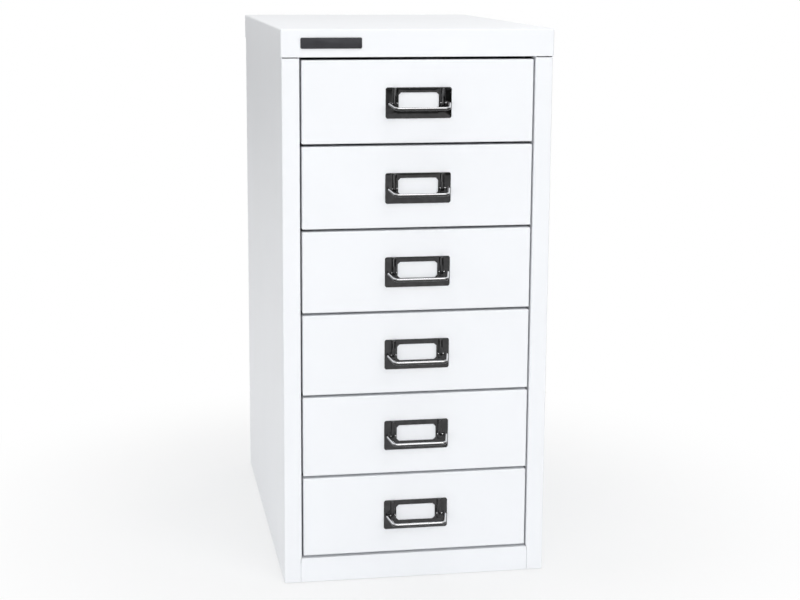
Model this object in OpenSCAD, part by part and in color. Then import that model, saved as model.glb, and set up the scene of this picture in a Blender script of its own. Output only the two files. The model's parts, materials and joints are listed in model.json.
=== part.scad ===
// Six-drawer steel cabinet for A4 papers, free standing.
// X runs across the front, Y from the front to the back and Z up.
// The origin is on the floor, at the centre of the footprint.

/* [Cabinet] */
// Width across the two side panels
body_w = 279; // [240:1:340]
// Depth from the drawer fronts to the back
body_d = 430; // [340:1:460]
// Height from the floor to the top of the cap
cabinet_h = 580; // [480:1:700]
// Sheet thickness of the carcass
sheet_t = 1; // [0.8:0.1:1.2]
// Outside radius of the carcass folds
bend_r = 1.4; // [1.3:0.1:2]
// Gap between the floor and the carcass, held by the feet
foot_lift = 1; // [0.6:0.2:4]
// Height of the plinth above the floor
plinth_h = 27; // [20:1:60]
// Width of the flat stile beside the drawers
stile_w = 18.3; // [16:0.1:26]
// Depth of the stile's folded return
stile_return = 11; // [6:1:12]

/* [Top cap] */
// Sheet thickness of the cap
cap_t = 0.8; // [0.6:0.1:1.2]
// Height of the cap's front and side skirts
cap_skirt = 28; // [18:1:50]
// Outside radius of the cap's folds
cap_r = 1.6; // [1.4:0.1:3]
// Gap between the cap's skirt and the faces of the stiles
skirt_gap = 1.2; // [0.4:0.1:2]

/* [Blank badge] */
// Width of the blank badge on the cap
badge_w = 62; // [30:1:90]
// Height of the blank badge
badge_h = 11; // [6:1:14]
// Thickness of the blank badge
badge_t = 1.2; // [0.6:0.1:2]
// Distance from the cap's left edge to the badge
badge_inset = 20; // [10:1:60]
// Corner radius of the blank badge
badge_r = 1.5; // [0.5:0.1:3]

/* [Drawers] */
// Gap between neighbouring drawer fronts
reveal = 2.8; // [1.2:0.1:3]
// Gap between a drawer front and a stile
side_reveal = 1.9; // [1:0.1:2.5]
// Depth of a drawer front's folded pan
front_depth = 14; // [12.6:0.2:18]
// Sheet thickness of a drawer front
front_t = 0.9; // [0.7:0.1:1.2]
// Outside radius of a drawer front's folds
front_r = 1.3; // [1.25:0.05:2]
// Sheet thickness of a drawer tray
tray_t = 0.8; // [0.6:0.1:1.2]
// Width of the flange that a tray hangs by
flange_w = 7.7; // [7.5:0.1:9]
// Distance from a front's top edge down to the tray's flange
tray_drop = 6.3; // [5:0.1:12]
// Distance from a front's bottom edge up to the tray's floor
tray_rise = 3; // [2:0.5:10]
// Space behind the tray for the closing buffers
rear_space = 17; // [12:1:40]

/* [Runners] */
// Sheet thickness of a runner
runner_t = 1; // [0.8:0.1:1.2]
// Width of a runner's ledges, with its web
ledge_w = 8; // [7:0.1:8.4]
// Clear height inside a runner
channel_h = 6.6; // [5.4:0.1:7.6]
// Length of each nylon guide
guide_l = 35.8; // [20:0.1:50]
// Running clearance round the nylon guides
guide_gap = 0.3; // [0.2:0.05:0.5]

/* [Pulls] */
// Width of the label holder's plate
plate_w = 68; // [64:1:90]
// Height of the label holder's plate
plate_h = 31.6; // [28:0.2:40]
// Thickness of the label holder's plate
plate_t = 0.9; // [0.7:0.1:1.2]
// Width of the label window
window_w = 41.5; // [30:0.5:44]
// Height of the label window
window_h = 17; // [12:0.5:18.5]
// Margin above the label window
window_top = 5.2; // [3:0.1:6]
// Width of the raised ribs that carry the bail
rib_w = 4.2; // [4:0.1:4.6]
// Diameter of the bail's wire
wire_d = 3.6; // [3:0.1:4.2]
// Distance from the drawer front to the middle of the grip
grip_reach = 23.4; // [18:0.2:32]
// Radius of the bail's two corners, at the middle of the wire
grip_r = 8; // [4:0.5:12]
// Angle by which the resting bail droops
droop = 11; // [0:0.5:12]
// Height of the bail's pivot above the plate's lower edge
pivot_up = 15.4; // [11:0.2:17]

/* [Hidden] */
drawer_count = 6;
drawers = [1 : drawer_count];

enamel = [0.95, 0.96, 0.97];
zinc = [0.62, 0.64, 0.66];
chrome = [0.28, 0.28, 0.30];
nylon = [0.90, 0.89, 0.84];
rubber = [0.08, 0.08, 0.09];

// Small margin for cuts that pass right through
cut = 1;
// Facets asked of arcs and bores, which stay true curves
arc_fn = 48;
// Heights that are shared out come in tenths of a millimetre
tenths = 10;

// Carcass
half_w = body_w / 2;
half_d = body_d / 2;
front_y = -half_d;
wall_in = half_w - sheet_t;
cap_under = cabinet_h - cap_t;
skirt_z = cabinet_h - cap_skirt;
cap_hw = half_w + cap_t;
cap_hd = half_d + cap_t;
fold_r = max(bend_r, cap_r - cap_t);
fold_in = fold_r - sheet_t;
fold_z = cap_under - fold_r;
base_top = plinth_h - sheet_t;
opening_hw = half_w - stile_w;
back_y = half_d - sheet_t;
back_flange_w = 14;
top_flange_w = 12;
foot_flange_w = 26;
base_flange_h = 16;

// Plinth
notch_gap = 0.3;
notch_w = sheet_t + notch_gap;
notch_rise = 1.5;
seam = 0.5;
lap_w = 12;
lap_margin = 5;

// Feet
foot_r = 8;
foot_stem_r = 4;
foot_collar_r = 4.7;
foot_hole_gap = 0.1;
foot_collar_h = 2;
foot_in_x = 13;
foot_in_y = 30;

// Drawer stack
opening_h = skirt_z - plinth_h;
front_h = floor(tenths * (opening_h - (drawer_count + 1) * reveal) / drawer_count) / tenths;
pitch = front_h + reveal;
front_hw = opening_hw - side_reveal;
flange_in = 1;
flange_hw = front_hw - flange_in;
tray_hw = flange_hw - flange_w;
tray_front = front_y + front_depth;
tray_rear = half_d - rear_space;
tray_r = 2.5;
plate_inset = 1.2;

// Runners and uprights
web_gap = 1.3;
web_in = flange_hw + web_gap;
web_out = web_in + runner_t;
runner_setback = 2.2;
runner_tail = 3;
runner_front = tray_front + tray_t + runner_setback;
runner_rear = tray_rear + runner_tail;
upright_l = 26;
upright_t = 1.2;
upright_setback = 0.4;
front_upright_y = tray_front + upright_setback;
rear_upright_y = runner_rear - upright_l;

// Closing buffers
buffer_r = 6;
buffer_tip_r = 4.5;
buffer_tip_l = 4;
buffer_x = 70;
buffer_gap = 0.3;

// Label holder and bail
wire_r = wire_d / 2;
plate_r = 2.3;
plate_edge_r = 0.5;
window_cut = 2.6;
holder_up = 0.484;
pin_r = 1.1;
pin_gap = 0.03;
bore_r = pin_r + pin_gap;
wire_gap = 0.3;
bore_wall = 1;
axis_off = plate_t + wire_r + wire_gap;
rib_front = axis_off + bore_r + bore_wall;
rib_lean = 0.8;
rib_fade = 9;
rib_nose = 1.4;
rib_x = 24.8;
rib_wall = 0.9;
rib_below = 3.2;
rib_r = 1.6;
arm_gap = 1.8;
arm_x = rib_x + rib_w / 2 + arm_gap + wire_r;
arm_l = grip_reach - axis_off;
pin_out = 1;
tab_w = 4;
tab_foot = 4;
tab_in = 4;
tab_x = plate_w / 2 - tab_in;
tab_z = 10;
tab_gap = 0.2;

// Lower edge of drawer n's front, counted from the top
function drawer_z(n) = plinth_h + reveal + (drawer_count - n) * pitch;

// Middle of the flange that drawer n's tray hangs by
function flange_z(n) = drawer_z(n) + front_h - tray_drop - tray_t / 2;

// Middle of drawer n's label holder
function holder_z(n) = drawer_z(n) + round(tenths * front_h * holder_up) / tenths;

// Height of the axis that drawer n's bail turns on
function pivot_z(n) = holder_z(n) - plate_h / 2 + pivot_up;

// A block between two opposite corners
module span(lo, hi) {
    translate(lo) cube(hi - lo);
}

// A piece and its mirror image on the other side of the cabinet
module both_sides() {
    children();
    mirror([1, 0, 0]) children();
}

// A rectangle between two corners, with round corners
module round_rect(lo, hi, r) {
    size = hi - lo;
    translate([lo.x, lo.y + r]) square([size.x, size.y - 2 * r]);
    translate([lo.x + r, lo.y]) square([size.x - 2 * r, size.y]);
    for (x = [lo.x + r, hi.x - r], y = [lo.y + r, hi.y - r])
        translate([x, y]) circle(r, $fn = arc_fn);
}

// An outline in X and Z, drawn from y = lo to y = hi
module along_y(lo, hi) {
    translate([0, hi, 0]) rotate([90, 0, 0]) linear_extrude(hi - lo) children();
}

// An outline in Y and Z, drawn from x = lo to x = hi
module along_x(lo, hi) {
    translate([lo, 0, 0]) rotate([90, 0, 90]) linear_extrude(hi - lo) children();
}

// A block with every edge rounded, as folded sheet is
module folded_block(lo, hi, r) {
    intersection() {
        translate([0, 0, lo.z]) linear_extrude(hi.z - lo.z) round_rect([lo.x, lo.y], [hi.x, hi.y], r);
        along_y(lo.y, hi.y) round_rect([lo.x, lo.z], [hi.x, hi.z], r);
        along_x(lo.x, hi.x) round_rect([lo.y, lo.z], [hi.y, hi.z], r);
    }
}

// The cap: a shallow lid with skirts that hang over the body
module top_cap() {
    low = skirt_z - cap_r - cut;
    color(enamel) difference() {
        folded_block([-cap_hw, -cap_hd, low], [cap_hw, cap_hd, cabinet_h], cap_r);
        folded_block([-half_w, -half_d, low - cap_skirt], [half_w, half_d, cap_under], cap_r - cap_t);
        span([-cap_hw - cut, -cap_hd - cut, low - cut], [cap_hw + cut, cap_hd + cut, skirt_z]);
    }
}

// Plan outline of the right side panel, its stile and its rear flange
module side_profile() {
    difference() {
        round_rect([opening_hw, -half_d], [half_w, half_d], fold_r);
        round_rect([opening_hw + sheet_t, -half_d + sheet_t], [wall_in, back_y], fold_in);
        translate([opening_hw - cut, front_y + stile_return])
            square([sheet_t + 2 * cut, body_d - stile_return - 2 * sheet_t]);
        translate([opening_hw - cut, back_y - 2 * sheet_t])
            square([stile_w - back_flange_w + cut, 3 * sheet_t + cut]);
    }
}

// Where the stile steps back beside the plinth
module plinth_notch() {
    edge = opening_hw + notch_w;
    along_y(front_y - cut, front_y + stile_return + cut)
        polygon([
            [opening_hw - cut, 0],
            [edge, 0],
            [edge, plinth_h - notch_rise],
            [opening_hw, plinth_h + notch_rise],
            [opening_hw - cut, plinth_h + notch_rise]
        ]);
}

// Gap in the stile's face, just under the cap's skirt
module skirt_slot() {
    span([opening_hw - cut, front_y - cut, skirt_z - skirt_gap], [half_w + cut, front_y + fold_r, skirt_z]);
}

// Where the feet stand, on the right side
module at_feet() {
    for (y = [-half_d + foot_in_y, half_d - foot_in_y])
        translate([half_w - foot_in_x, y, 0]) children();
}

// Flange folded inwards along the top of the right side panel
module top_flange() {
    front = front_y + stile_return + cut;
    inner = [half_w - sheet_t, half_d - sheet_t, cap_under - sheet_t];
    intersection() {
        difference() {
            folded_block([-half_w, -half_d, 0], [half_w, half_d, cap_under], fold_r);
            folded_block([-inner.x, -inner.y, 0], inner, fold_in);
        }
        span([half_w - top_flange_w, front, fold_z - cut], [cap_hw, half_d - stile_return, cabinet_h]);
    }
}

// Right side panel: stile, wall and rear flange folded from one sheet
module side_panel() {
    difference() {
        union() {
            translate([0, 0, foot_lift]) linear_extrude(fold_z - foot_lift) side_profile();
            top_flange();
            span(
                [half_w - foot_flange_w, front_y + stile_return + cut, foot_lift],
                [wall_in + sheet_t / 2, half_d - stile_return, foot_lift + sheet_t]
            );
        }
        plinth_notch();
        skirt_slot();
        at_feet() cylinder(h = foot_lift + sheet_t + cut, r = foot_stem_r + foot_hole_gap, $fn = arc_fn);
    }
}

module right_side_panel() {
    color(enamel) side_panel();
}

module left_side_panel() {
    color(enamel) mirror([1, 0, 0]) side_panel();
}

// Back sheet, held against the side panels' rear flanges
module back_panel() {
    edge = half_w - fold_r;
    flange = half_w - top_flange_w - cut;
    color(enamel) {
        span([-edge, back_y - sheet_t, foot_lift], [edge, back_y, cap_under]);
        span([-flange, back_y - top_flange_w, cap_under - sheet_t], [flange, back_y, cap_under]);
    }
}

// Floor of the carcass, with flanges turned down along the sides
module base_pan() {
    rear = back_y - sheet_t;
    front = front_y + sheet_t + fold_r;
    color(enamel) {
        span([-wall_in, front, base_top - sheet_t], [wall_in, rear, base_top]);
        both_sides()
            span(
                [wall_in - sheet_t, front + stile_return, base_top - base_flange_h],
                [wall_in, rear - stile_return, base_top]
            );
    }
}

// Front plinth, flush with the stiles, with laps behind them
module plinth_panel() {
    foot_edge = opening_hw + notch_w - seam;
    top_edge = opening_hw + notch_w / 2 - seam;
    flange = opening_hw - seam;
    inside = front_y + sheet_t;
    color(enamel) {
        along_y(front_y, inside)
            polygon([
                [-foot_edge, foot_lift],
                [foot_edge, foot_lift],
                [foot_edge, plinth_h - notch_rise],
                [top_edge, plinth_h],
                [-top_edge, plinth_h],
                [-foot_edge, plinth_h - notch_rise]
            ]);
        for (z = [foot_lift, base_top])
            span([-flange, front_y, z], [flange, front_y + stile_return, z + sheet_t]);
        both_sides()
            span(
                [flange - sheet_t, inside, foot_lift + lap_margin],
                [opening_hw + lap_w, inside + sheet_t, base_top - lap_margin]
            );
    }
}

// Channel that joins the stiles behind the cap's front skirt
module front_top_rail() {
    deep = 2 * stile_return;
    color(enamel) along_x(-opening_hw, opening_hw) difference() {
        round_rect([front_y, skirt_z], [front_y + deep, cap_under], fold_r);
        round_rect([front_y + sheet_t, skirt_z + sheet_t], [front_y + deep + cut, cap_under - sheet_t], fold_in);
        translate([front_y + stile_return, skirt_z - cut]) square([deep, cap_skirt + cut]);
    }
}

// Channel-shaped upright on the right side, from y backwards, with an open front or rear
module upright(y, open_rear) {
    inner_lo = open_rear ? y + upright_t : y - cut;
    inner_hi = open_rear ? y + upright_l + cut : y + upright_l - upright_t;
    color(zinc) difference() {
        span([web_out, y, base_top], [wall_in, y + upright_l, fold_z]);
        span(
            [web_out + upright_t, inner_lo, base_top - cut],
            [wall_in - upright_t, inner_hi, fold_z + cut]
        );
    }
}

module right_front_upright() {
    upright(front_upright_y, true);
}

module right_rear_upright() {
    upright(rear_upright_y, false);
}

module left_front_upright() {
    mirror([1, 0, 0]) right_front_upright();
}

module left_rear_upright() {
    mirror([1, 0, 0]) right_rear_upright();
}

// Right runner of drawer n: a channel that faces the tray
module right_runner(n) {
    low = flange_z(n) - channel_h / 2;
    high = flange_z(n) + channel_h / 2;
    ledge_in = web_out - ledge_w;
    color(zinc) difference() {
        span([ledge_in, runner_front, low - runner_t], [web_out, runner_rear, high + runner_t]);
        span([ledge_in - cut, runner_front - cut, low], [web_in, runner_rear + cut, high]);
    }
}

module left_runner(n) {
    mirror([1, 0, 0]) right_runner(n);
}

// Nylon guides in the mouths of the runners, slotted for the trays' flanges
module runner_guides() {
    inner = web_out - ledge_w + cut;
    rear = runner_front + guide_l;
    slot = tray_t / 2 + guide_gap;
    color(nylon) for (n = drawers) both_sides() difference() {
        span(
            [inner, runner_front, flange_z(n) - channel_h / 2],
            [web_in, rear, flange_z(n) + channel_h / 2]
        );
        span(
            [inner - cut, runner_front - cut, flange_z(n) - slot],
            [flange_hw + guide_gap, rear + cut, flange_z(n) + slot]
        );
    }
}

// Rubber buffers that the closed trays come up against
module rear_buffers() {
    base_y = back_y - sheet_t;
    body_l = base_y - tray_rear - buffer_gap - buffer_tip_l;
    color(rubber) for (n = drawers) both_sides()
        translate([buffer_x, base_y, holder_z(n)]) rotate([90, 0, 0]) {
            cylinder(h = body_l, r = buffer_r, $fn = arc_fn);
            cylinder(h = body_l + buffer_tip_l, r = buffer_tip_r, $fn = arc_fn);
        }
}

// Plug-in glide feet
module glide_feet() {
    collar_z = foot_lift + sheet_t;
    color(rubber) both_sides() at_feet() {
        cylinder(h = foot_lift, r = foot_r, $fn = arc_fn);
        cylinder(h = collar_z + foot_collar_h, r = foot_stem_r, $fn = arc_fn);
        translate([0, 0, collar_z]) cylinder(h = foot_collar_h, r = foot_collar_r, $fn = arc_fn);
    }
}

// Blank badge, stuck to the cap's front skirt
module blank_badge() {
    left = -cap_hw + badge_inset;
    low = skirt_z + (cap_skirt - badge_h) / 2;
    color(rubber) along_y(-cap_hd - badge_t, -cap_hd)
        round_rect([left, low], [left + badge_w, low + badge_h], badge_r);
}

// Tray of drawer n: floor, sides, back, hanging flanges and a front wall
module drawer_tray(n) {
    floor_z = drawer_z(n) + tray_rise;
    top_z = flange_z(n) + tray_t / 2;
    wall_hw = tray_hw - tray_t;
    over = top_z + tray_r + cut;
    color(enamel) {
        difference() {
            along_y(tray_front, tray_rear) round_rect([-tray_hw, floor_z], [tray_hw, over], tray_r);
            along_y(tray_front + tray_t, tray_rear - tray_t)
                round_rect([-wall_hw, floor_z + tray_t], [wall_hw, over + 2 * cut], tray_r - tray_t);
            span([-tray_hw - cut, tray_front - cut, top_z], [tray_hw + cut, tray_rear + cut, over + cut]);
        }
        both_sides()
            span([tray_hw - tray_t, tray_front, top_z - tray_t], [flange_hw, tray_rear, top_z]);
        span(
            [-flange_hw, tray_front, drawer_z(n) + plate_inset],
            [flange_hw, tray_front + tray_t, drawer_z(n) + front_h - plate_inset]
        );
    }
}

// Front of drawer n: a folded pan with slots for the label holder's tabs
module drawer_front(n) {
    lo = [-front_hw, front_y, drawer_z(n)];
    hi = [front_hw, tray_front, drawer_z(n) + front_h];
    wall = [front_t, front_t, front_t];
    deep = [0, front_depth, 0];
    color(enamel) difference() {
        folded_block(lo, hi + deep, front_r);
        folded_block(lo + wall, hi - wall + 2 * deep, front_r - front_t);
        span(lo + [-cut, front_depth, -cut], hi + deep + [cut, cut, cut]);
        at_tabs(n) tab_slot();
    }
}

// The four places where drawer n's label holder is tabbed to the front
module at_tabs(n) {
    for (z = [-tab_z, tab_z]) both_sides()
        translate([tab_x, front_y, holder_z(n) + z]) children();
}

// Slot for one tab
module tab_slot() {
    span(
        [-plate_t / 2 - tab_gap, -cut, -tab_w / 2 - tab_gap],
        [plate_t / 2 + tab_gap, front_t + cut, tab_w / 2 + tab_gap]
    );
}

// One tab: through the slot and folded flat behind the front
module tab() {
    span([-plate_t / 2, -plate_t / 2, -tab_w / 2], [plate_t / 2, front_t + plate_t, tab_w / 2]);
    span([-tab_foot, front_t, -tab_w / 2], [plate_t / 2, front_t + plate_t, tab_w / 2]);
}

// Nylon guides on the rear ends of drawer n's flanges
module drawer_guides(n) {
    half_h = channel_h / 2 - guide_gap;
    color(nylon) both_sides() difference() {
        span(
            [tray_hw, tray_rear - guide_l, flange_z(n) - half_h],
            [web_in - guide_gap, tray_rear, flange_z(n) + half_h]
        );
        span(
            [tray_hw - cut, tray_rear - guide_l - cut, flange_z(n) - tray_t / 2],
            [flange_hw, tray_rear + cut, flange_z(n) + tray_t / 2]
        );
    }
}

// Side outline of a rib, in Y and Z, grown by d
module rib_outline(n, d) {
    low = pivot_z(n) - rib_below;
    top = holder_z(n) + plate_h / 2;
    polygon([
        [front_y + cut, low - rib_front / 2 - d],
        [front_y - plate_t / 2 - d, low - rib_front / 2 - d],
        [front_y - rib_front - d, low - d],
        [front_y - rib_front - d, top - rib_fade + d],
        [front_y - rib_front + rib_lean - d, top - rib_nose + d],
        [front_y - rib_front + rib_lean + rib_nose - d, top + d],
        [front_y + cut, top + d]
    ]);
}

// Right rib, grown by d on every side
module rib(n, d) {
    hw = rib_w / 2 + d;
    intersection() {
        along_x(rib_x - hw, rib_x + hw) rib_outline(n, d);
        translate([0, 0, holder_z(n) - plate_h / 2])
            linear_extrude(plate_h)
            round_rect([rib_x - hw, front_y - rib_front - d], [rib_x + hw, front_y + 2 * rib_r], rib_r + d);
        span([0, front_y - grip_reach, drawer_z(n)], [plate_w, front_y, drawer_z(n) + front_h]);
    }
}

// Label holder of drawer n: plate, window, hollow ribs and tabs
module label_holder(n) {
    mid = holder_z(n);
    hw = plate_w / 2;
    hh = plate_h / 2;
    win_top = mid + hh - window_top;
    color(chrome) difference() {
        union() {
            intersection() {
                along_y(front_y - plate_t, front_y) round_rect([-hw, mid - hh], [hw, mid + hh], plate_r);
                folded_block(
                    [-hw, front_y - plate_t, mid - hh],
                    [hw, front_y + plate_t, mid + hh],
                    plate_edge_r
                );
            }
            both_sides() rib(n, 0);
            at_tabs(n) tab();
        }
        both_sides() rib(n, -rib_wall);
        along_y(front_y - plate_t - cut, front_y + cut) window(win_top);
        both_sides()
            translate([rib_x - rib_w / 2 - cut, front_y - axis_off, pivot_z(n)])
            rotate([0, 90, 0])
            cylinder(h = rib_w + 2 * cut, r = bore_r, $fn = arc_fn);
    }
}

// Label window with its corners cut off
module window(top) {
    hw = window_w / 2;
    low = top - window_h;
    polygon([
        [-hw + window_cut, low],
        [hw - window_cut, low],
        [hw, low + window_cut],
        [hw, top - window_cut],
        [hw - window_cut, top],
        [-hw + window_cut, top],
        [-hw, top - window_cut],
        [-hw, low + window_cut]
    ]);
}

// Wire bail of drawer n, turned about its two pins
module pull_bail(n) {
    straight = arm_l - grip_r;
    grip_hw = arm_x - grip_r;
    pin_l = arm_x - rib_x + rib_w / 2 + pin_out;
    color(chrome) translate([0, front_y - axis_off, pivot_z(n)]) rotate([droop, 0, 0]) {
        translate([-grip_hw, -arm_l, 0]) rotate([0, 90, 0])
            cylinder(h = 2 * grip_hw, r = wire_r, $fn = arc_fn);
        both_sides() {
            translate([grip_hw, -straight, 0]) rotate([0, 0, -90])
                rotate_extrude(angle = 90, $fn = 2 * arc_fn)
                translate([grip_r, 0]) circle(wire_r, $fn = arc_fn);
            translate([arm_x, 0, 0]) rotate([90, 0, 0]) cylinder(h = straight, r = wire_r, $fn = arc_fn);
            translate([arm_x, 0, 0]) sphere(wire_r, $fn = arc_fn);
            translate([arm_x - pin_l, 0, 0]) rotate([0, 90, 0]) cylinder(h = pin_l, r = pin_r, $fn = arc_fn);
        }
    }
}

top_cap();
left_side_panel();
right_side_panel();
back_panel();
base_pan();
plinth_panel();
front_top_rail();
left_front_upright();
left_rear_upright();
right_front_upright();
right_rear_upright();
runner_guides();
rear_buffers();
glide_feet();
blank_badge();
for (n = drawers) left_runner(n);
for (n = drawers) right_runner(n);
for (n = drawers) drawer_tray(n);
for (n = drawers) drawer_front(n);
for (n = drawers) drawer_guides(n);
for (n = drawers) label_holder(n);
for (n = drawers) pull_bail(n);
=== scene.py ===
import json
import math

import bmesh
import bpy
from bpy.props import FloatProperty, FloatVectorProperty, PointerProperty
from mathutils import Matrix, Vector


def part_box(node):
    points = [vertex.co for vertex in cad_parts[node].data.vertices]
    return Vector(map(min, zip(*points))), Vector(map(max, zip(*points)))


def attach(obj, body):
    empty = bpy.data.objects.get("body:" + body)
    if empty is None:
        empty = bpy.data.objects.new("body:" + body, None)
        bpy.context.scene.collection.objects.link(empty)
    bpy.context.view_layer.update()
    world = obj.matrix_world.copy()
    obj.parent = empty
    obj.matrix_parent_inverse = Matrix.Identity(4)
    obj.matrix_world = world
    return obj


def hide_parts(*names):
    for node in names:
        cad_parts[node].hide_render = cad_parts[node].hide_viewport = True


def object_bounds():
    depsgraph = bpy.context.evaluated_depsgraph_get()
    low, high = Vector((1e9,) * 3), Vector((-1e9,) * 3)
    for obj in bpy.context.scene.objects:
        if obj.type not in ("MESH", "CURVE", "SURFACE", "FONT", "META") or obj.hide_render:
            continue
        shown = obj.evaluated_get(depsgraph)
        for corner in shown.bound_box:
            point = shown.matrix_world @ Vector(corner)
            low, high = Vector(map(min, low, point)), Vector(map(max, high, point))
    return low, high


bl_info = {
    "name": "Six-drawer steel cabinet",
    "version": (1, 0, 0),
    "blender": (4, 5, 0),
    "location": "3D view > Sidebar > Cabinet",
    "description": "Dresses a drawer cabinet: powder coat, dark chrome pulls, runners, floor and lamps",
    "category": "Object",
}

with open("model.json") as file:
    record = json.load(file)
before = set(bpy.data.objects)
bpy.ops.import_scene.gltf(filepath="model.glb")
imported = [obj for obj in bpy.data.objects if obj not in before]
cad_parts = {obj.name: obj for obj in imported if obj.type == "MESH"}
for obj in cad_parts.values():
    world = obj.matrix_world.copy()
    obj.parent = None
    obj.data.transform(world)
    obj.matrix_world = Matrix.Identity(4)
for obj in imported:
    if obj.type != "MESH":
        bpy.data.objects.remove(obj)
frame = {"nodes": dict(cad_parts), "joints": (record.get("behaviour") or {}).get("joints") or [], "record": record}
CAD_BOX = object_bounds()
NODES = frame["nodes"]
JOINTS = {joint["name"]: joint for joint in frame["joints"]}
SLOTS = {part["node"]: part["material_slot"] for part in frame["record"]["subparts"]}
DRAWERS = sorted(int(name.rsplit("_", 1)[1]) for name in NODES if name.startswith("drawer_front_"))
MM = 0.001
QUARTER = math.radians(90)


# Shader maths and node making


class Signal:
    """An output socket that Python expressions work on: each operator adds its Math node."""

    def __init__(self, finish, socket):
        self.finish = finish
        self.socket = socket

    def __add__(self, other):
        return self.finish.maths("ADD", self, other)

    __radd__ = __add__

    def __mul__(self, other):
        return self.finish.maths("MULTIPLY", self, other)

    __rmul__ = __mul__

    def __sub__(self, other):
        return self.finish.maths("SUBTRACT", self, other)

    def __rsub__(self, other):
        return self.finish.maths("SUBTRACT", other, self)


class Finish:
    """The node tree of one material, or of the world."""

    def __init__(self, owner):
        owner.use_nodes = True
        self.owner = owner
        self.tree = owner.node_tree
        self.tree.nodes.clear()

    def node(self, kind, settings=None, sockets=None, output=0):
        """Adds a node: its settings first, then the values or links of its sockets."""
        made = self.tree.nodes.new(kind)
        for key, value in (settings or {}).items():
            setattr(made, key, value)
        for key, value in (sockets or {}).items():
            if isinstance(value, Signal):
                self.tree.links.new(value.socket, made.inputs[key])
            else:
                made.inputs[key].default_value = value
        return Signal(self, made.outputs[output]) if made.outputs else None

    def maths(self, operation, first, second):
        return self.node("ShaderNodeMath", {"operation": operation}, {0: first, 1: second})

    def place(self, stretch=(1, 1, 1)):
        """Where a point is on its own piece, in metres, stretched along each axis."""
        where = self.node("ShaderNodeTexCoord", output="Object")
        return self.node(
            "ShaderNodeVectorMath", {"operation": "MULTIPLY"}, {0: where, 1: stretch}
        )

    def noise(self, size, detail=2, roughness=0.5, stretch=(1, 1, 1)):
        """Noise whose blotches are about size metres across."""
        return self.node(
            "ShaderNodeTexNoise",
            {"noise_dimensions": "3D"},
            {"Vector": self.place(stretch), "Scale": 1 / size, "Detail": detail, "Roughness": roughness},
        )

    def between(self, signal, low, high, start=0.0, end=1.0):
        """Takes a signal from low..high smoothly to start..end."""
        return self.node(
            "ShaderNodeMapRange",
            {"interpolation_type": "SMOOTHSTEP"},
            {"Value": signal, "From Min": low, "From Max": high, "To Min": start, "To Max": end},
        )

    def tint(self, share, first, second):
        """Mixes two colours, each a signal or a plain colour."""
        pair = [one if isinstance(one, Signal) else (*one, 1) for one in (first, second)]
        return self.node(
            "ShaderNodeMix",
            {"data_type": "RGBA"},
            {"Factor": share, 6: pair[0], 7: pair[1]},
            output=2,
        )

    def bump(self, height, depth):
        """A normal from a height signal that runs over depth metres."""
        return self.node("ShaderNodeBump", None, {"Height": height, "Distance": depth, "Strength": 1.0})

    def seen(self, mirrored):
        """1 for the camera's own rays, and mirrored for those that come through glass or off a gloss."""
        kinds = ("Camera", "Glossy", "Transmission")
        camera, glossy, through = (
            self.node("ShaderNodeLightPath", output=f"Is {kind} Ray") for kind in kinds
        )
        return camera + (glossy + through) * mirrored

    def surface(self, **sockets):
        """Ends the material in one Principled shader; underscores stand for the spaces in socket names."""
        named = {key.replace("_", " "): value for key, value in sockets.items()}
        shader = self.node("ShaderNodeBsdfPrincipled", None, named)
        self.node("ShaderNodeOutputMaterial", None, {"Surface": shader})
        return self.owner


def finish(name):
    return Finish(bpy.data.materials.new(name))


def shaded(colour, factor):
    """A colour made lighter or darker."""
    return tuple(min(1.0, channel * factor) for channel in colour)


# Roughness of each finish where it's smoothest
SATIN_COAT = 0.38
CHROME_GLOSS = 0.06
ZINC_SHEEN = 0.28
NYLON_SHEEN = 0.42
RUBBER_MATT = 0.72
LACQUER_SATIN = 0.26

# How strongly the coat and the nylon bend light
COAT_IOR = 1.5
NYLON_IOR = 1.53

# Between which values of its noise each patch grows from nothing to full
COAT_CLOUD = (0.3, 0.7)
COAT_MARKS = (0.52, 0.72)
CHROME_HAZE = (0.35, 0.7)
ZINC_BLOTCH = (0.35, 0.65)
RUBBER_BLOOM = (0.45, 0.75)

# From which slopes on a surface counts as facing up, for the bails' painted highlight, where 1 is level
UPWARDS = (0.1, 0.75)

# Depths of the fine textures
ZINC_LINES = 0.012 * MM
NYLON_GRAIN = 0.01 * MM
RUBBER_GRAIN = 0.04 * MM
LACQUER_LINES = 0.006 * MM


def powder_coat(looks):
    """Satin powder coat: fine orange peel, soft clouding and faint handling marks."""
    coat = finish("powder_coat")
    peel = coat.noise(1.6 * MM, detail=1)
    cloud = coat.noise(90 * MM, detail=3)
    marks = coat.between(coat.noise(26 * MM, detail=4, stretch=(1, 1, 0.35)), *COAT_MARKS)
    clouded = coat.between(cloud, *COAT_CLOUD)
    colour = coat.tint(clouded, shaded(looks.enamel, 0.985), tuple(looks.enamel))
    return coat.surface(
        Base_Color=colour,
        Roughness=SATIN_COAT + marks * 0.07 + cloud * 0.04,
        Normal=coat.bump(peel, looks.peel),
        IOR=COAT_IOR,
    )


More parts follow.
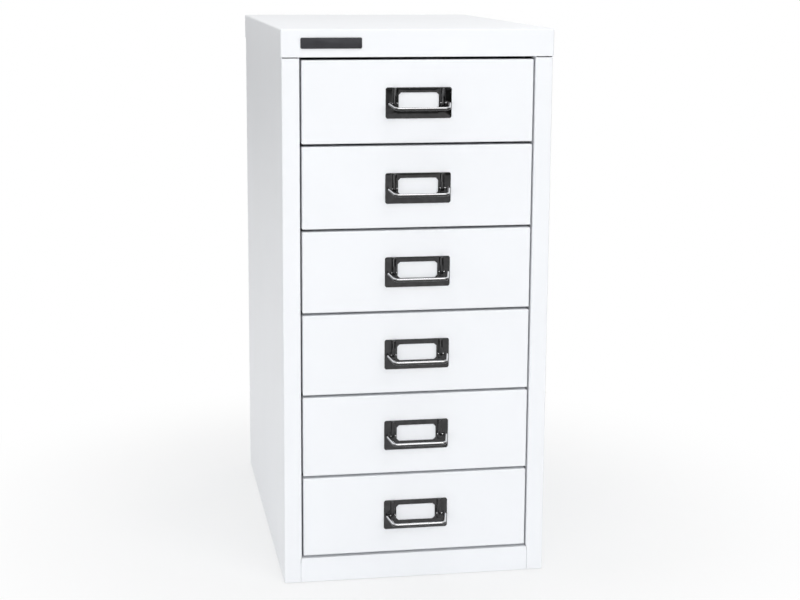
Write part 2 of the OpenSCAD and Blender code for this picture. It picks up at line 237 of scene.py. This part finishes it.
def dark_chrome(looks, name, painted_highlight_share):
    """Black chrome: nearly a mirror, gently wavy. A painted highlight lightens the colour of what faces up, in
    place of the lamps' reflection on it.
    """
    chrome = finish(name)
    waves = chrome.noise(14 * MM, detail=1)
    haze = chrome.noise(5 * MM, detail=3)
    facing = chrome.node("ShaderNodeTexCoord", output="Normal")
    upwards = chrome.node("ShaderNodeSeparateXYZ", None, {0: facing}, output=2)
    # Painted highlight: upward faces take a light colour that stands in for the reflection of the lamps overhead
    painted_highlight = painted_highlight_share * chrome.between(upwards, *UPWARDS)
    dark, light = shaded(looks.chrome, 0.85), shaded(looks.chrome, 1.12)
    steel = chrome.tint(chrome.between(haze, *CHROME_HAZE), dark, light)
    return chrome.surface(
        Base_Color=chrome.tint(painted_highlight, steel, tuple(looks.painted_highlight_colour)),
        Metallic=1.0,
        Roughness=CHROME_GLOSS + haze * 0.06,
        Normal=chrome.bump(waves, looks.waviness),
    )


def zinc_plate(looks):
    """Bright zinc plating, drawn lengthways and slightly blotched."""
    zinc = finish("zinc_plate")
    blotch = zinc.noise(9 * MM, detail=3)
    drawn = zinc.noise(0.6 * MM, detail=2, stretch=(1, 0.03, 1))
    blotched = zinc.between(blotch, *ZINC_BLOTCH)
    colour = zinc.tint(blotched, shaded(looks.zinc, 0.88), tuple(looks.zinc))
    return zinc.surface(
        Base_Color=colour,
        Metallic=1.0,
        Roughness=ZINC_SHEEN + blotch * 0.12 + drawn * 0.1,
        Normal=zinc.bump(drawn, ZINC_LINES),
    )


def moulded_nylon(looks):
    """Natural nylon as it comes from the mould."""
    nylon = finish("moulded_nylon")
    cloud = nylon.noise(6 * MM, detail=2)
    grain = nylon.noise(0.35 * MM, detail=1)
    colour = nylon.tint(cloud, shaded(looks.nylon, 0.94), tuple(looks.nylon))
    return nylon.surface(
        Base_Color=colour,
        Roughness=NYLON_SHEEN + cloud * 0.1,
        Normal=nylon.bump(grain, NYLON_GRAIN),
        IOR=NYLON_IOR,
    )


def matt_rubber(looks):
    """Black rubber with a fine grain and a dusty bloom."""
    rubber = finish("matt_rubber")
    bloom = rubber.between(rubber.noise(4 * MM, detail=4), *RUBBER_BLOOM)
    grain = rubber.noise(0.3 * MM, detail=2)
    colour = rubber.tint(bloom, tuple(looks.rubber), shaded(looks.rubber, 2.2))
    return rubber.surface(
        Base_Color=colour,
        Roughness=RUBBER_MATT + bloom * 0.15,
        Normal=rubber.bump(grain, RUBBER_GRAIN),
    )


def badge_lacquer(looks):
    """Dark satin lacquer on the blank badge, brushed along its length."""
    lacquer = finish("badge_lacquer")
    brushed = lacquer.noise(0.25 * MM, detail=2, stretch=(0.02, 1, 1))
    cloud = lacquer.noise(12 * MM, detail=2)
    colour = lacquer.tint(cloud, shaded(looks.badge, 0.8), shaded(looks.badge, 1.25))
    return lacquer.surface(
        Base_Color=colour,
        Metallic=0.9,
        Roughness=LACQUER_SATIN + brushed * 0.14,
        Normal=lacquer.bump(brushed, LACQUER_LINES),
    )


def dress(names, material):
    """Gives CAD nodes their finish."""
    for name in names:
        mesh = NODES[name].data
        mesh.materials.clear()
        mesh.materials.append(material)


def in_slot(*slots):
    return [name for name in NODES if SLOTS[name] in slots]


# Mesh making


SHARP_ANGLE = math.radians(35)


def skin(rings, closed):
    """Quads between rings of points: a closed skin joins its two ends, and an open one is capped."""
    count = len(rings[0])
    points = [point for ring in rings for point in ring]
    faces = []
    for index in range(len(rings) if closed else len(rings) - 1):
        here = index * count
        there = (index + 1) % len(rings) * count
        for step in range(count):
            turn = (step + 1) % count
            faces.append((here + step, here + turn, there + turn, there + step))
    if not closed:
        last = (len(rings) - 1) * count
        faces.append(tuple(range(count))[::-1])
        faces.append(tuple(range(last, last + count)))
    return points, faces


def mesh_piece(name, points, faces, material):
    """A smooth-shaded mesh object whose sharp edges stay sharp."""
    mesh = bpy.data.meshes.new(name)
    mesh.from_pydata(points, [], faces)
    mesh.validate()
    mesh.materials.append(material)
    piece = bpy.data.objects.new(name, mesh)
    bpy.context.scene.collection.objects.link(piece)
    settle(piece)
    return piece


def settle(piece):
    """Turns all faces outwards and shades them smooth, apart from sharp edges."""
    mesh = piece.data
    work = bmesh.new()
    work.from_mesh(mesh)
    bmesh.ops.recalc_face_normals(work, faces=work.faces)
    work.to_mesh(mesh)
    work.free()
    mesh.shade_smooth()
    mesh.set_sharp_from_angle(angle=SHARP_ANGLE)


def joined(piece, others):
    """Fuses other pieces into the first, so that it's one closed skin."""
    for other in others:
        fuse = piece.modifiers.new("fuse", "BOOLEAN")
        fuse.operation = "UNION"
        fuse.solver = "EXACT"
        fuse.object = other
    bpy.context.view_layer.update()
    fused = bpy.data.meshes.new_from_object(piece.evaluated_get(bpy.context.evaluated_depsgraph_get()))
    piece.modifiers.clear()
    piece.data = fused
    for other in others:
        bpy.data.objects.remove(other)
    settle(piece)
    return piece


def outline(half_w, half_h, corner, bow, side_steps=10, corner_steps=8):
    """A rectangle's outline in X and Z. Bow 1 rounds its corners and bow 0 cuts them straight."""
    points = []
    quarters = ((1, 1), (-1, 1), (-1, -1), (1, -1))
    for index, (sx, sz) in enumerate(quarters):
        centre = Vector((sx * (half_w - corner), sz * (half_h - corner)))
        first = QUARTER * index
        start = centre + corner * Vector((math.cos(first), math.sin(first)))
        end = centre + corner * Vector((-math.sin(first), math.cos(first)))
        for step in range(corner_steps):
            share = step / corner_steps
            angle = first + QUARTER * share
            arc = centre + corner * Vector((math.cos(angle), math.sin(angle)))
            points.append(arc.lerp(start.lerp(end, share), 1 - bow))
        nx, nz = quarters[(index + 1) % 4]
        turn = Vector((nx * (half_w - corner), nz * (half_h - corner)))
        arrive = turn + corner * Vector((-math.sin(first), math.cos(first)))
        points += [end.lerp(arrive, step / side_steps) for step in range(side_steps)]
    return points


def upright_ring(points, y, centre):
    """An outline in X and Z set upright at depth y, about a centre."""
    return [Vector((centre.x + p.x, y, centre.z + p.y)) for p in points]


def round_steps(count):
    """Shares of the way round a quarter turn, as sine and cosine."""
    angles = [QUARTER * step / count for step in range(count + 1)]
    return [(math.sin(angle), math.cos(angle)) for angle in angles]


EDGE_STEPS = 5
CORNER_SHARE = 0.4
WINDOW_BOW = 0.12
PLATE_LIFT = 0.02 * MM


def plate_piece(name, centre, face_y, back_y, sizes, material):
    """The label holder's plate: rounded outer edge, window with cut corners, closed back."""
    half_w = sizes.plate_w / 2
    half_h = sizes.plate_h / 2
    edge = sizes.plate_edge
    lip = sizes.window_lip
    window_mid = half_h - sizes.window_top - sizes.window_h / 2

    def outer(inset, y):
        shape = outline(half_w - inset, half_h - inset, sizes.plate_corner - inset * CORNER_SHARE, 1)
        return upright_ring(shape, y, centre)

    def window(outset, y):
        half_size = sizes.window_w / 2 + outset, sizes.window_h / 2 + outset
        shape = outline(*half_size, sizes.window_cut + outset * CORNER_SHARE, WINDOW_BOW)
        return upright_ring([p + Vector((0, window_mid)) for p in shape], y, centre)

    rings = [outer(0, back_y)]
    rings += [outer(edge * (1 - c), face_y + edge * (1 - s)) for s, c in round_steps(EDGE_STEPS)]
    rings += [window(lip * (1 - c), face_y + lip * (1 - s)) for s, c in reversed(round_steps(EDGE_STEPS))]
    rings += [window(0, back_y)]
    return mesh_piece(name, *skin(rings, True), material)


def rib_height(z, low, top, sizes, full):
    """How far the rib stands out at height z: eased in at its foot, leaning back and rounded at its top."""
    rise = min(1.0, (z - low) / sizes.rib_ease)
    lean = max(0.0, 1 - (top - z) / sizes.rib_fade) * sizes.rib_lean
    past = max(0.0, 1 - (top - z) / sizes.rib_nose)
    nose = sizes.rib_nose * (1 - math.sqrt(1 - past * past))
    return full * rise * rise * (3 - 2 * rise) - lean - nose


RIB_STATIONS = 60
ARC_STEPS = 6
RIB_SUNK = 0.6 * MM
FILLET_SHARE = 0.45
SHOULDER_SHARE = 0.8
RIB_LEAST = 0.02 * MM
RIB_TOP_GAP = 0.05 * MM


def rib_ring(x, z, height, face_y, sizes):
    """A rib's section at height z: a round-shouldered ridge with fillets where it leaves the plate."""
    half = sizes.rib_w / 2
    fillet = min(sizes.rib_fillet, height * FILLET_SHARE)
    shoulder = min(half * SHOULDER_SHARE, height / 2)
    side = [Vector((half + fillet, -RIB_SUNK))]
    for s, c in round_steps(ARC_STEPS):
        side.append(Vector((half + fillet * (1 - s), fillet * (1 - c))))
    for s, c in round_steps(ARC_STEPS):
        side.append(Vector((half - shoulder * (1 - c), height - shoulder * (1 - s))))
    mirrored = [Vector((-p.x, p.y)) for p in reversed(side)]
    return [Vector((x + p.x, face_y - p.y, z)) for p in side + mirrored]


def rib_piece(name, x, low, top, face_y, full, sizes, material):
    """One rib of a label holder, as rings from its lower end to its top."""
    rings = []
    for step in range(RIB_STATIONS + 1):
        z = low + (top - low) * step / RIB_STATIONS
        height = max(RIB_LEAST, rib_height(z, low, top, sizes, full))
        rings.append(rib_ring(x, z, height, face_y, sizes))
    return mesh_piece(name, *skin(rings, False), material)


def holder_piece(number, sizes, material):
    """Label holder of one drawer: its plate and the two ribs that carry the bail."""
    node = f"label_holder_{number}"
    low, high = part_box(node)
    front_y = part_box(f"drawer_front_{number}")[0].y
    centre = Vector((0, 0, (low.z + high.z) / 2))
    face_y = front_y - sizes.plate_t
    pivot = Vector(JOINTS[f"bail_{number}_hinge"]["pos_m"])
    plate = plate_piece(f"label_plate_{number}", centre, face_y, front_y - PLATE_LIFT, sizes, material)
    ribs = [
        rib_piece(
            f"rib_{side}_{number}",
            side * sizes.rib_x,
            pivot.z - sizes.rib_below,
            high.z - RIB_TOP_GAP,
            face_y,
            face_y - low.y,
            sizes,
            material,
        )
        for side in (-1, 1)
    ]
    return joined(plate, ribs), node


WIRE_SIDES = 28
BEND_STEPS = 12
PIN_CHAMFER = 0.3 * MM
PIN_TAPER = 0.8
WIRE_GROWTH = 1.6


def arc_points(centre, radius, first, last):
    """Points along an arc, each with its share of the way."""
    points = []
    for step in range(BEND_STEPS + 1):
        share = step / BEND_STEPS
        angle = first + (last - first) * share
        points.append((share, centre.x + radius * math.cos(angle), centre.y + radius * math.sin(angle)))
    return points


def wire_path(sizes, arm_x, arm_l, wire_r):
    """Half of the bail's middle line, from its pin to the middle of the grip, with the wire's radius."""
    lean = sizes.arm_lean
    elbow = sizes.elbow
    bend = sizes.grip_bend
    pin_r = sizes.pin_r
    tip = sizes.rib_x - sizes.rib_w / 2 - sizes.pin_out
    elbow_mid = Vector((arm_x - elbow, elbow))
    square_to_arm = Vector((math.cos(lean), math.sin(lean)))
    bend_y = arm_l - bend
    bend_x = (square_to_arm.dot(elbow_mid) + elbow - bend - square_to_arm.y * bend_y) / square_to_arm.x
    path = [(tip, 0, pin_r * PIN_TAPER), (tip + PIN_CHAMFER, 0, pin_r), (elbow_mid.x, 0, pin_r)]
    for share, x, y in arc_points(elbow_mid, elbow, -QUARTER, lean)[1:]:
        path.append((x, y, pin_r + (wire_r - pin_r) * min(1.0, share * WIRE_GROWTH)))
    for _, x, y in arc_points(Vector((bend_x, bend_y)), bend, lean, QUARTER):
        path.append((x, y, wire_r))
    return path + [(0, arm_l, wire_r)]


def sweep_rings(path, across, out, origin):
    """Rings of a round bar along a flat path of (x, reach, radius) points."""
    square = across.cross(out)
    points = [origin + across * x + out * reach for x, reach, _ in path]
    rings = []
    for index, (_, _, radius) in enumerate(path):
        before = points[max(0, index - 1)]
        after = points[min(len(points) - 1, index + 1)]
        side = square.cross((after - before).normalized())
        ring = []
        for step in range(WIRE_SIDES):
            angle = 2 * math.pi * step / WIRE_SIDES
            ring.append(points[index] + radius * (math.cos(angle) * side + math.sin(angle) * square))
        rings.append(ring)
    return rings


def bail_piece(number, sizes, material):
    """Wire bail of one drawer, bent round its two pins."""
    node = f"pull_bail_{number}"
    low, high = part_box(node)
    pivot = Vector(JOINTS[f"bail_{number}_hinge"]["pos_m"])
    wire_r = high.z - pivot.z
    arm = Vector((0, low.y + wire_r - pivot.y, low.z + wire_r - pivot.z))
    half = wire_path(sizes, high.x - wire_r, arm.length, wire_r)
    whole = [(-x, reach, radius) for x, reach, radius in half] + half[-2::-1]
    rings = sweep_rings(whole, Vector((1, 0, 0)), arm.normalized(), pivot)
    return mesh_piece(f"wire_bail_{number}", *skin(rings, False), material), node


def badge_piece(sizes, material):
    """The blank badge with a softened rim."""
    node = "blank_badge"
    low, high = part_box(node)
    centre = (low + high) / 2
    half = (high - low) / 2
    rim = sizes.badge_rim
    rings = [upright_ring(outline(half.x, half.z, sizes.badge_corner, 1), high.y, centre)]
    for s, c in round_steps(EDGE_STEPS):
        inset = rim * (1 - c)
        shape = outline(half.x - inset, half.z - inset, sizes.badge_corner - inset / 2, 1)
        rings.append(upright_ring(shape, low.y + rim * (1 - s), centre))
    return mesh_piece("badge", *skin(rings, False), material), node


def seat(made, body):
    """Puts a piece in place of its CAD node."""
    piece, node = made
    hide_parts(node)
    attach(piece, body)


# What a user can change


def length(name, about, millimetres, **limits):
    return FloatProperty(name=name, description=about, default=millimetres * MM, unit="LENGTH", **limits)


def colour(name, about, value):
    return FloatVectorProperty(
        name=name, description=about, default=value, subtype="COLOR", size=3, min=0, max=1
    )


def power(name, about, watts):
    return FloatProperty(name=name, description=about, default=watts, unit="POWER")


def turned(name, about, radians):
    return FloatProperty(name=name, description=about, default=radians, subtype="ANGLE")


class CabinetLooks(bpy.types.PropertyGroup):
    """Colours and textures of the cabinet."""

    enamel: colour("Powder coat", "Colour of the coated steel", (0.91, 0.925, 0.95))
    chrome: colour("Black chrome", "Colour of the label holders and bails", (0.06, 0.06, 0.061))
    # Painted highlight: the light colour that the bails' upward faces take, standing in for the lamps' reflection
    painted_highlight_colour: colour("Polished chrome", "Colour of the bails where fingers rub them", (0.75, 0.75, 0.76))
    zinc: colour("Zinc", "Colour of the runners and uprights", (0.58, 0.59, 0.61))
    nylon: colour("Nylon", "Colour of the guides", (0.80, 0.79, 0.73))
    rubber: colour("Rubber", "Colour of the buffers and feet", (0.018, 0.018, 0.019))
    badge: colour("Badge", "Colour of the blank badge", (0.05, 0.05, 0.055))
    peel: length("Orange peel", "Depth of the powder coat's orange peel", 0.012)
    waviness: length("Waviness", "Depth of the waves in the chromed steel", 0.04)


class PullSizes(bpy.types.PropertyGroup):
    """Sizes of the label holders, bails and badge."""

    plate_w: length("Plate width", "Width of the label holder's plate", 68)
    plate_h: length("Plate height", "Height of the label holder's plate", 31.6)
    plate_t: length("Plate thickness", "Thickness of the label holder's plate", 0.9)
    plate_corner: length("Plate corner", "Corner radius of the plate", 2.3)
    plate_edge: length("Plate edge", "Rounding of the plate's outer edge", 0.5)
    window_w: length("Window width", "Width of the label window", 41.5)
    window_h: length("Window height", "Height of the label window", 17)
    window_top: length("Window margin", "Margin above the label window", 5.2)
    window_cut: length("Window corner", "Size of the window's cut corners", 2.6)
    window_lip: length("Window lip", "Rounding of the window's edge", 0.25)
    rib_x: length("Rib place", "Distance from the middle to a rib", 24.8)
    rib_w: length("Rib width", "Width of a rib", 4.2)
    rib_below: length("Rib end", "Distance from the pivot down to the rib's end", 5.6)
    rib_ease: length("Rib rise", "Height over which a rib's lower end rises", 2.6)
    rib_fade: length("Rib lean height", "Height over which a rib's top leans back", 9)
    rib_lean: length("Rib lean", "How far a rib's top leans back", 0.8)
    rib_nose: length("Rib nose", "Rounding of a rib's top", 1.4)
    rib_fillet: length("Rib fillet", "Fillet between a rib and the plate", 0.5)
    pin_r: length("Pin radius", "Radius of the bail's pins", 1.1)
    pin_out: length("Pin end", "How far a pin stands out on its rib's inner side", 1)
    elbow: length("Elbow", "Radius of the bend between a pin and its arm", 2.6)
    grip_bend: length("Grip bend", "Radius of the bail's two bends", 4)
    arm_lean: turned("Arm lean", "How far the bail's arms lean inwards", 0.21)
    badge_rim: length("Badge rim", "Rounding of the badge's rim", 0.45)
    badge_corner: length("Badge corner", "Corner radius of the badge", 1.5)


class StudioLight(bpy.types.PropertyGroup):
    """Light and view of the stage."""

    key: power("Key lamp", "Power of the large softbox in front", 38)
    low: power("Low lamp", "Power of the low softbox in front", 12)
    top: power("Top lamp", "Power of the softbox overhead", 8)
    back: power("Back lamp", "Power of the softbox behind", 3)
    room: FloatProperty(name="Room", description="Brightness of the room in front", default=0.4, min=0)
    wall: FloatProperty(name="Wall", description="Brightness of the wall behind", default=0.95, min=0)
    floor: colour("Floor", "Colour of the paper under the cabinet", (0.88, 0.89, 0.90))
    dark_floor: colour("Dark floor", "Colour of the studio floor round the paper", (0.11, 0.11, 0.105))
    eye: FloatVectorProperty(
        name="Camera place",
        description="Where the camera stands",
        default=(-0.3052, -1.8332, 0.647),
        unit="LENGTH",
    )
    turn: turned("Turn", "Camera's turn to the right", 0.1661)
    dip: turned("Dip", "Camera's tilt downwards", 0.17921)
    roll: turned("Roll", "Camera's roll", 0.00433)
    lens: FloatProperty(
        name="Lens", description="Focal length on a 36 mm frame", default=73.09, unit="CAMERA"
    )
    shift: FloatVectorProperty(
        name="Lens shift",
        description="Shift of the lens, as shares of the frame",
        default=(0.01875, -0.05625),
        size=2,
    )


# Operators


class CABINET_OT_coat_steel(bpy.types.Operator):
    """Powder coat on the carcass, the trays and the drawer fronts"""

    bl_idname = "cabinet.coat_steel"
    bl_label = "Coat the steel"

    def execute(self, context):
        dress(in_slot("white_enamel"), powder_coat(context.scene.cabinet_looks))
        return {"FINISHED"}


class CABINET_OT_plate_runners(bpy.types.Operator):
    """Zinc on the runners and uprights"""

    bl_idname = "cabinet.plate_runners"
    bl_label = "Plate the runners"

    def execute(self, context):
        dress(in_slot("zinc_steel"), zinc_plate(context.scene.cabinet_looks))
        return {"FINISHED"}


class CABINET_OT_mould_plastics(bpy.types.Operator):
    """Nylon on the guides, and rubber on the buffers and feet"""

    bl_idname = "cabinet.mould_plastics"
    bl_label = "Mould the plastics"

    def execute(self, context):
        looks = context.scene.cabinet_looks
        dress(in_slot("nylon"), moulded_nylon(looks))
        dress(in_slot("black_rubber"), matt_rubber(looks))
        return {"FINISHED"}


class CABINET_OT_fit_pulls(bpy.types.Operator):
    """Label holders with ribs, and bails of bent wire, in dark chrome"""

    bl_idname = "cabinet.fit_pulls"
    bl_label = "Fit the pulls"

    def execute(self, context):
        sizes = context.scene.cabinet_pulls
        looks = context.scene.cabinet_looks
        pressed = dark_chrome(looks, "pressed_chrome", 0)
        # The wire chrome carries the painted highlight on its upper side; the pressed chrome carries none
        wire = dark_chrome(looks, "wire_chrome", 1)
        for number in DRAWERS:
            seat(holder_piece(number, sizes, pressed), f"drawer_{number}")
            seat(bail_piece(number, sizes, wire), f"bail_{number}")
        return {"FINISHED"}


class CABINET_OT_fit_badge(bpy.types.Operator):
    """Blank badge on the cap"""

    bl_idname = "cabinet.fit_badge"
    bl_label = "Fit the badge"

    def execute(self, context):
        lacquer = badge_lacquer(context.scene.cabinet_looks)
        seat(badge_piece(context.scene.cabinet_pulls, lacquer), "carcass")
        return {"FINISHED"}


FLOOR_HALF = 12
SHADOW_RANGE = (0.2, 0.6)
SHADOW_WHITE = 0.6
PAPER_SIDES = (1.5, 0.9)
PAPER_FRONT = (-7.5, -4.5)

# Where the dim room in front gives way to the bright wall behind, for light and for reflections
WALL_SLANT = 0.3
WALL_EDGE = (-0.1, 0.5)
MIRROR_EDGE = (-0.1, 0.3)

# Each softbox: its place, its width and height, and how high it aims
MIDDLE_Z = CAD_BOX[1].z / 2
SOFTBOXES = {
    "key": ((1.2, -3.3, 1.7), (2.8, 1.8), MIDDLE_Z),
    "low": ((-1.4, -2.4, 0.4), (2.4, 0.7), 0.1),
    "top": ((0, -0.95, 1.9), (1.2, 0.6), MIDDLE_Z),
    "back": ((1.3, 1.5, 1.2), (1.4, 1.0), MIDDLE_Z),
}
FRAME_WIDTH = 36


def lay_floor(light):
    """White floor: it shows white to the camera, and keeps the cabinet's soft shadow near it."""
    plane = finish("studio_floor")
    where = plane.node("ShaderNodeTexCoord", output="Object")
    spread = plane.node("ShaderNodeVectorMath", {"operation": "LENGTH"}, {0: where}, output="Value")
    clear = plane.between(spread, *SHADOW_RANGE, SHADOW_WHITE, 1.0)
    across = plane.maths("ABSOLUTE", plane.node("ShaderNodeSeparateXYZ", None, {0: where}, output=0), 0)
    ahead = plane.node("ShaderNodeSeparateXYZ", None, {0: where}, output=1)
    paper = plane.between(across, *PAPER_SIDES) * plane.between(ahead, *PAPER_FRONT)
    sheet = plane.tint(paper, light.dark_floor, light.floor)
    matt = plane.node("ShaderNodeBsdfDiffuse", None, {"Color": sheet})
    white = plane.node("ShaderNodeEmission", None, {"Color": (1, 1, 1, 1), "Strength": 1.0})
    both = plane.node("ShaderNodeMixShader", None, {0: plane.seen(paper) * clear, 1: matt, 2: white})
    plane.node("ShaderNodeOutputMaterial", None, {"Surface": both})
    corners = [(-1, -1), (1, -1), (1, 1), (-1, 1)]
    points = [Vector((x * FLOOR_HALF, y * FLOOR_HALF, 0)) for x, y in corners]
    floor = mesh_piece("floor", points, [(0, 1, 2, 3)], plane.owner)


def light_room(light):
    """A soft room: bright behind the cabinet and dim in front of it, and white where the camera looks."""
    world = bpy.data.worlds.new("studio")
    bpy.context.scene.world = world
    room = Finish(world)
    toward = room.node("ShaderNodeTexCoord", output="Generated")
    rightwards = room.node("ShaderNodeSeparateXYZ", None, {0: toward}, output=0)
    backwards = room.node("ShaderNodeSeparateXYZ", None, {0: toward}, output=1)
    lit = room.between(backwards - WALL_SLANT * rightwards, *WALL_EDGE, light.room, light.wall)
    strength = lit + (1 - lit) * room.seen(room.between(backwards, *MIRROR_EDGE))
    glow = room.node("ShaderNodeBackground", None, {"Color": (1, 1, 1, 1), "Strength": strength})
    room.node("ShaderNodeOutputWorld", None, {"Surface": glow})


def hang_lamp(name, place, size, aim_z, watts):
    """A rectangular softbox that faces the cabinet's axis at a given height."""
    lamp = bpy.data.lights.new(name, "AREA")
    lamp.shape = "RECTANGLE"
    lamp.size, lamp.size_y = size
    lamp.energy = watts
    holder = bpy.data.objects.new(name, lamp)
    bpy.context.scene.collection.objects.link(holder)
    holder.visible_camera = False
    holder.location = place
    holder.rotation_euler = (Vector((0, 0, aim_z)) - Vector(place)).to_track_quat("-Z", "Y").to_euler()


def set_camera(light):
    """The photograph's viewpoint."""
    lens = bpy.data.cameras.new("camera")
    lens.sensor_width = FRAME_WIDTH
    lens.lens = light.lens
    lens.shift_x, lens.shift_y = light.shift
    camera = bpy.data.objects.new("camera", lens)
    bpy.context.scene.collection.objects.link(camera)
    aim = Matrix.Rotation(-light.turn, 4, "Z") @ Matrix.Rotation(QUARTER - light.dip, 4, "X")
    camera.matrix_world = Matrix.Translation(light.eye) @ aim @ Matrix.Rotation(light.roll, 4, "Z")
    bpy.context.scene.camera = camera


class CABINET_OT_set_stage(bpy.types.Operator):
    """Floor, room, lamps and camera"""

    bl_idname = "cabinet.set_stage"
    bl_label = "Set the stage"

    def execute(self, context):
        light = context.scene.cabinet_light
        lay_floor(light)
        light_room(light)
        for name, (place, size, aim_z) in SOFTBOXES.items():
            hang_lamp(f"{name}_softbox", place, size, aim_z, getattr(light, name))
        set_camera(light)
        context.scene.view_settings.view_transform = "Standard"
        return {"FINISHED"}


class CABINET_PT_panel(bpy.types.Panel):
    """Builds the cabinet's looks, step by step"""

    bl_label = "Cabinet"
    bl_space_type = "VIEW_3D"
    bl_region_type = "UI"
    bl_category = "Cabinet"

    def draw(self, context):
        for step in OPERATORS:
            self.layout.operator(step.bl_idname)


SETTINGS = {"cabinet_looks": CabinetLooks, "cabinet_pulls": PullSizes, "cabinet_light": StudioLight}
OPERATORS = (
    CABINET_OT_coat_steel,
    CABINET_OT_plate_runners,
    CABINET_OT_mould_plastics,
    CABINET_OT_fit_pulls,
    CABINET_OT_fit_badge,
    CABINET_OT_set_stage,
)
CLASSES = (*SETTINGS.values(), *OPERATORS, CABINET_PT_panel)


def register():
    for each in CLASSES:
        bpy.utils.register_class(each)
    for name, group in SETTINGS.items():
        setattr(bpy.types.Scene, name, PointerProperty(type=group))


def unregister():
    for name in SETTINGS:
        delattr(bpy.types.Scene, name)
    for each in reversed(CLASSES):
        bpy.utils.unregister_class(each)


def main():
    register()
    bpy.ops.cabinet.coat_steel()
    bpy.ops.cabinet.plate_runners()
    bpy.ops.cabinet.mould_plastics()
    bpy.ops.cabinet.fit_pulls()
    bpy.ops.cabinet.fit_badge()
    bpy.ops.cabinet.set_stage()


if __name__ == "__main__":
    main()
